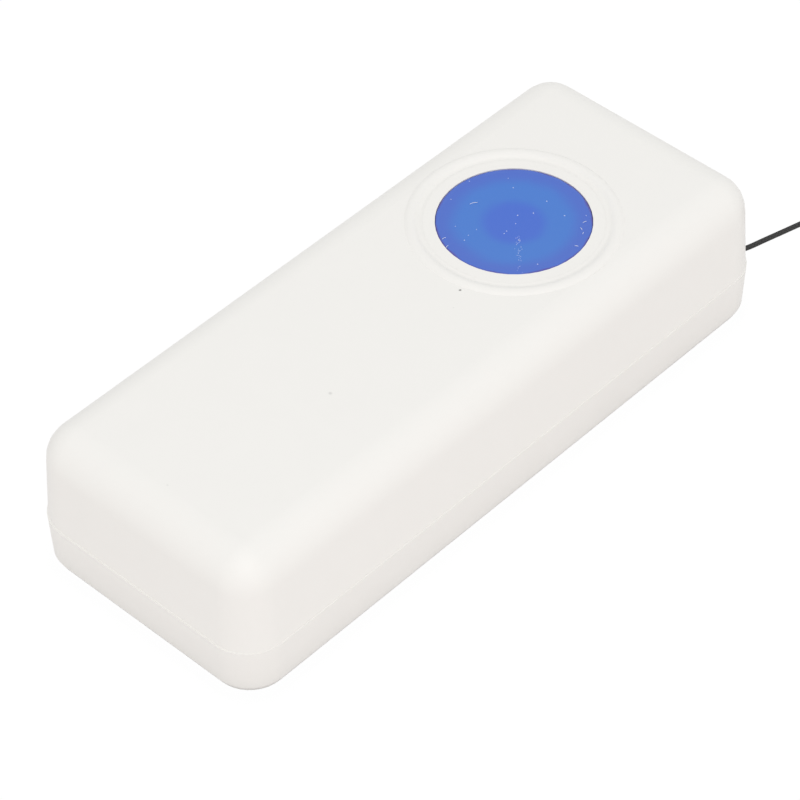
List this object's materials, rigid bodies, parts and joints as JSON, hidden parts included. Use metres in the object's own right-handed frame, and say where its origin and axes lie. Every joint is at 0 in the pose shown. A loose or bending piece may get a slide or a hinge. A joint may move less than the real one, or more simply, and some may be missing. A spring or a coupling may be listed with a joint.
{
  "type": "caregiver pager",
  "caption": "Hand-sized white alarm pager with a round blue call button, a hinged rear battery door and a thin neck cord.",
  "frame": {"origin": "centre of the flat rear face that the pager lies on", "axes": "+Z out of the front through the call button, +Y along the length towards the button and the cord, +X across the width"},
  "size_m": [0.0541, 0.1333, 0.0234],
  "materials": {
    "housing_white": "fine satin moulded ABS",
    "button_blue": "translucent blue silicone, matt",
    "board_green": "solder masked laminate",
    "part_black": "moulded black plastic",
    "lamp_clear": "clear resin",
    "metal_bright": "nickel plated steel",
    "metal_spring": "plated wire",
    "cell_jacket": "plain printed cell jacket",
    "cord_grey": "dark grey braided cord"
  },
  "bodies": {
    "housing": {"front_cover": "housing_white", "rear_cover": "housing_white", "housing_screw_1": "metal_bright", "housing_screw_2": "metal_bright", "housing_screw_3": "metal_bright", "housing_screw_4": "metal_bright", "circuit_board": "board_green", "switch_body": "part_black", "lamp_left": "lamp_clear", "lamp_right": "lamp_clear", "receiver_module": "metal_bright", "microcontroller": "part_black", "crystal": "metal_bright", "buzzer": "part_black", "capacitor": "part_black", "antenna_coil": "metal_spring", "board_screw_left": "metal_bright", "board_screw_right": "metal_bright", "battery_1": "cell_jacket", "battery_2": "cell_jacket", "contact_negative": "metal_bright", "contact_positive": "metal_bright", "contact_bridge": "metal_bright", "contact_spring_1": "metal_spring", "contact_spring_2": "metal_spring", "neck_cord": "cord_grey", "neck_cord_coil": "cord_grey", "stop_knot": "cord_grey", "end_knot": "cord_grey"},
    "button": {"call_button": "button_blue"},
    "plunger": {"switch_plunger": "part_black"},
    "door": {"battery_door": "housing_white"}
  },
  "joints": [
    {"name": "button_press", "type": "slide", "parent": "housing", "child": "button", "axis": [0, 0, -1], "range_m": [0, 0.0004], "stiffness_N_per_m": 1000},
    {"name": "plunger_press", "type": "slide", "parent": "housing", "child": "plunger", "axis": [0, 0, -1], "range_m": [0, 0.0004]},
    {"name": "door_hinge", "type": "hinge", "parent": "housing", "child": "door", "pos_m": [0, 0.0113, 0], "axis": [1, 0, 0], "range_deg": [0, 60]}
  ],
  "couplings": [
    {"joint": "plunger_press", "follows": "button_press", "ratio": 1}
  ]
}
